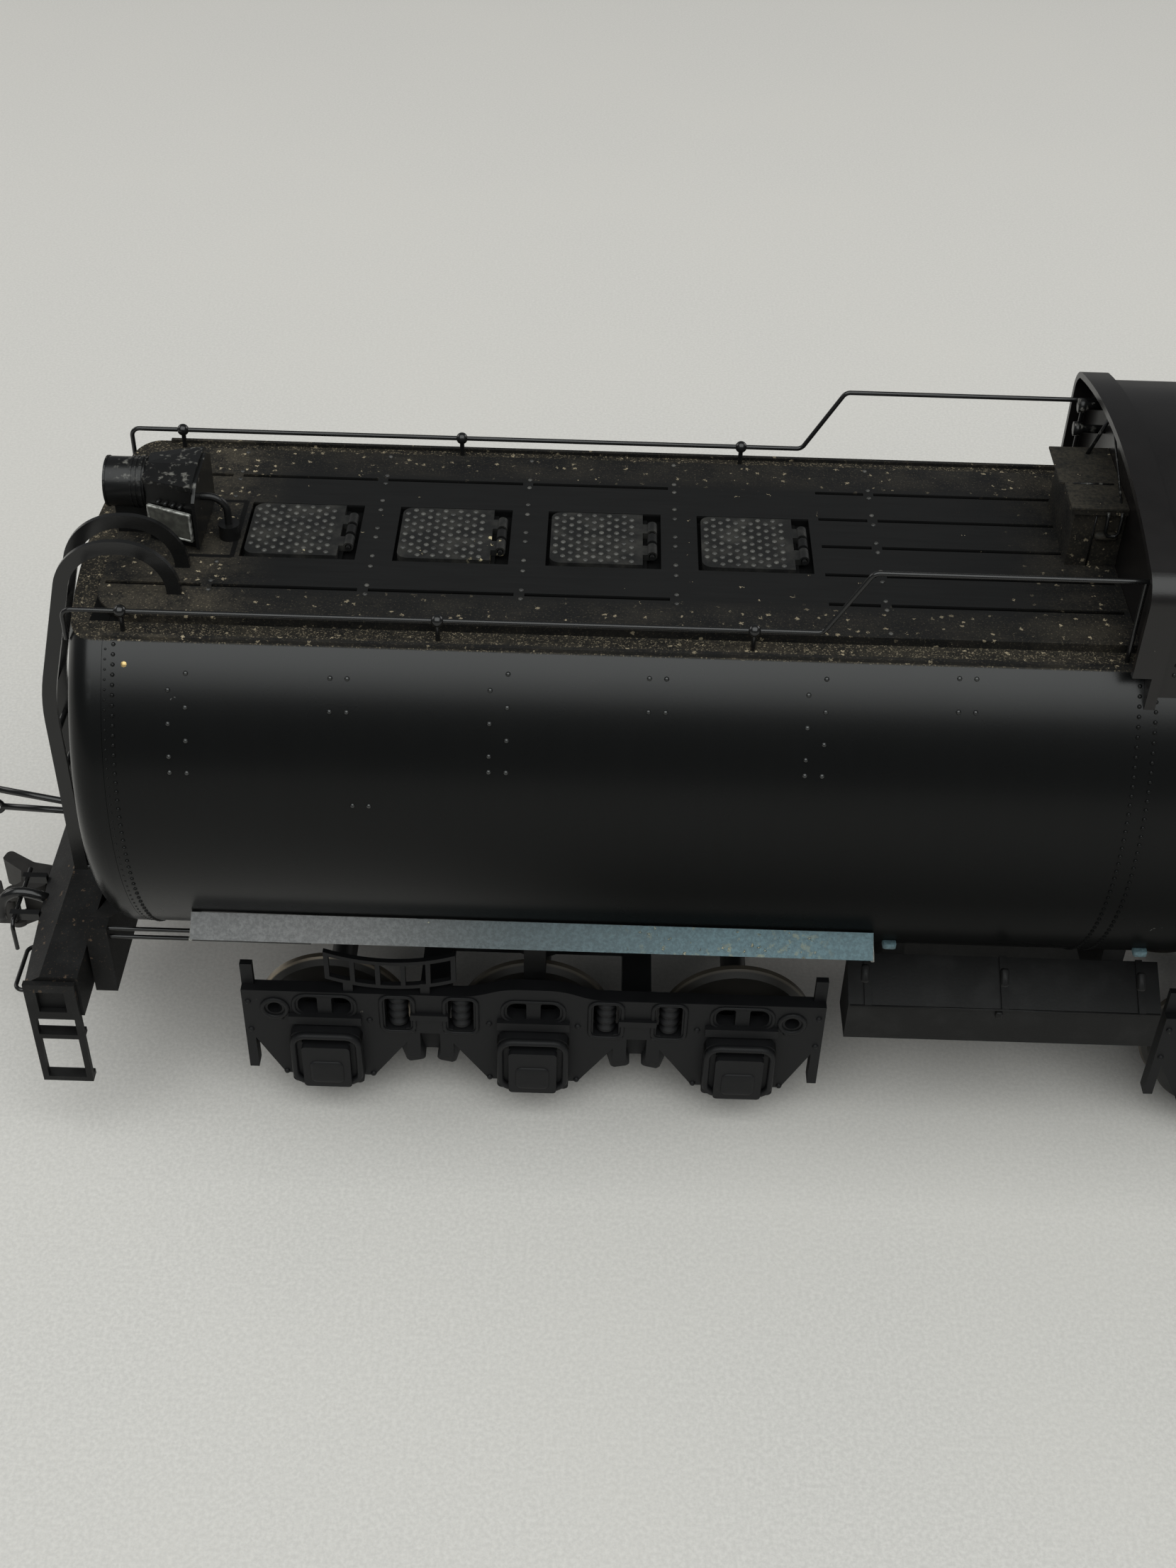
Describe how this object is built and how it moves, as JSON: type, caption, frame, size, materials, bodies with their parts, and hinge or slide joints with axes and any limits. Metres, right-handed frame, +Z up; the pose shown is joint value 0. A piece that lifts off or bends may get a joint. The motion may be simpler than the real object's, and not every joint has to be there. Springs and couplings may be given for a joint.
{
  "type": "model steam locomotive tender",
  "caption": "HO scale brass model tender: cylindrical tank with plank deck and hatches, fuel bunker, two swivelling six-wheel trucks and a knuckle coupler.",
  "frame": {"origin": "under the middle of the overall length, on the floor under the wheels", "axes": "+X towards the engine, +Y to the left, +Z up"},
  "size_m": [0.1492, 0.0346, 0.0542],
  "materials": {
    "black_satin": "satin black lacquer over brass",
    "deck_black": "dusty flat black",
    "frame_black": "flat black",
    "board_grey": "rough grey-black",
    "truck_black": "satin black castings",
    "wheel_steel": "turned, blackened sides and bright treads",
    "lamp_black": "satin black"
  },
  "bodies": {
    "tank": {"tank_barrel": "black_satin", "rear_head": "black_satin", "front_head": "black_satin", "deck_planks": "deck_black", "deck_ledges": "deck_black", "hatch_coamings": "deck_black", "bulkhead": "black_satin", "oil_bunker": "black_satin", "bunker_hatch": "black_satin", "deck_box": "deck_black", "handrails": "frame_black", "ladder": "frame_black", "headlamp": "lamp_black", "number_housing": "lamp_black", "lamp_conduit": "lamp_black", "underframe": "frame_black", "rear_sill": "frame_black", "front_sill": "frame_black", "corner_steps": "frame_black", "running_boards": "board_grey", "side_boxes": "frame_black", "coupler_pocket": "frame_black", "drawbar_pin": "frame_black", "air_pipes": "frame_black", "grab_irons": "frame_black"},
    "coupler": {"coupler_head": "truck_black"},
    "knuckle": {"knuckle": "truck_black"},
    "hatch_1": {"hatch_lid_1": "deck_black"},
    "hatch_2": {"hatch_lid_2": "deck_black"},
    "hatch_3": {"hatch_lid_3": "deck_black"},
    "hatch_4": {"hatch_lid_4": "deck_black"},
    "rear_truck": {"rear_truck_sides": "truck_black", "rear_truck_transom": "truck_black", "rear_truck_boxes": "truck_black", "rear_truck_springs": "truck_black"},
    "rear_wheelset_1": {"rear_wheelset_1": "wheel_steel"},
    "rear_wheelset_2": {"rear_wheelset_2": "wheel_steel"},
    "rear_wheelset_3": {"rear_wheelset_3": "wheel_steel"},
    "front_truck": {"front_truck_sides": "truck_black", "front_truck_transom": "truck_black", "front_truck_boxes": "truck_black", "front_truck_springs": "truck_black"},
    "front_wheelset_1": {"front_wheelset_1": "wheel_steel"},
    "front_wheelset_2": {"front_wheelset_2": "wheel_steel"},
    "front_wheelset_3": {"front_wheelset_3": "wheel_steel"}
  },
  "joints": [
    {"name": "hatch_1_hinge", "type": "hinge", "parent": "tank", "child": "hatch_1", "pos_m": [-0.04429, 0, 0.04486], "axis": [0, 1, 0], "range_deg": [0, 100]},
    {"name": "hatch_2_hinge", "type": "hinge", "parent": "tank", "child": "hatch_2", "pos_m": [-0.03414, 0, 0.04486], "axis": [0, 1, 0], "range_deg": [0, 100]},
    {"name": "hatch_3_hinge", "type": "hinge", "parent": "tank", "child": "hatch_3", "pos_m": [-0.02399, 0, 0.04486], "axis": [0, 1, 0], "range_deg": [0, 100]},
    {"name": "hatch_4_hinge", "type": "hinge", "parent": "tank", "child": "hatch_4", "pos_m": [-0.01384, 0, 0.04486], "axis": [0, 1, 0], "range_deg": [0, 100]},
    {"name": "rear_truck_swivel", "type": "hinge", "parent": "tank", "child": "rear_truck", "pos_m": [-0.03133, 0, 0.0111], "axis": [0, 0, 1], "range_deg": [-8, 8]},
    {"name": "rear_axle_1_spin", "type": "hinge", "parent": "rear_truck", "child": "rear_wheelset_1", "pos_m": [-0.04683, 0, 0.00585], "axis": [0, 1, 0], "continuous": true},
    {"name": "rear_axle_2_spin", "type": "hinge", "parent": "rear_truck", "child": "rear_wheelset_2", "pos_m": [-0.03133, 0, 0.00585], "axis": [0, 1, 0], "continuous": true},
    {"name": "rear_axle_3_spin", "type": "hinge", "parent": "rear_truck", "child": "rear_wheelset_3", "pos_m": [-0.01583, 0, 0.00585], "axis": [0, 1, 0], "continuous": true},
    {"name": "front_truck_swivel", "type": "hinge", "parent": "tank", "child": "front_truck", "pos_m": [0.03687, 0, 0.0111], "axis": [0, 0, 1], "range_deg": [-8, 8]},
    {"name": "front_axle_1_spin", "type": "hinge", "parent": "front_truck", "child": "front_wheelset_1", "pos_m": [0.02137, 0, 0.00585], "axis": [0, 1, 0], "continuous": true},
    {"name": "front_axle_2_spin", "type": "hinge", "parent": "front_truck", "child": "front_wheelset_2", "pos_m": [0.03687, 0, 0.00585], "axis": [0, 1, 0], "continuous": true},
    {"name": "front_axle_3_spin", "type": "hinge", "parent": "front_truck", "child": "front_wheelset_3", "pos_m": [0.05237, 0, 0.00585], "axis": [0, 1, 0], "continuous": true},
    {"name": "coupler_swing", "type": "hinge", "parent": "tank", "child": "coupler", "pos_m": [-0.06585, 0, 0.0105], "axis": [0, 0, 1], "range_deg": [-10, 10]},
    {"name": "knuckle_pivot", "type": "hinge", "parent": "coupler", "child": "knuckle", "pos_m": [-0.07213, -0.0021, 0.0105], "axis": [0, 0, 1], "range_deg": [0, 30]}
  ]
}
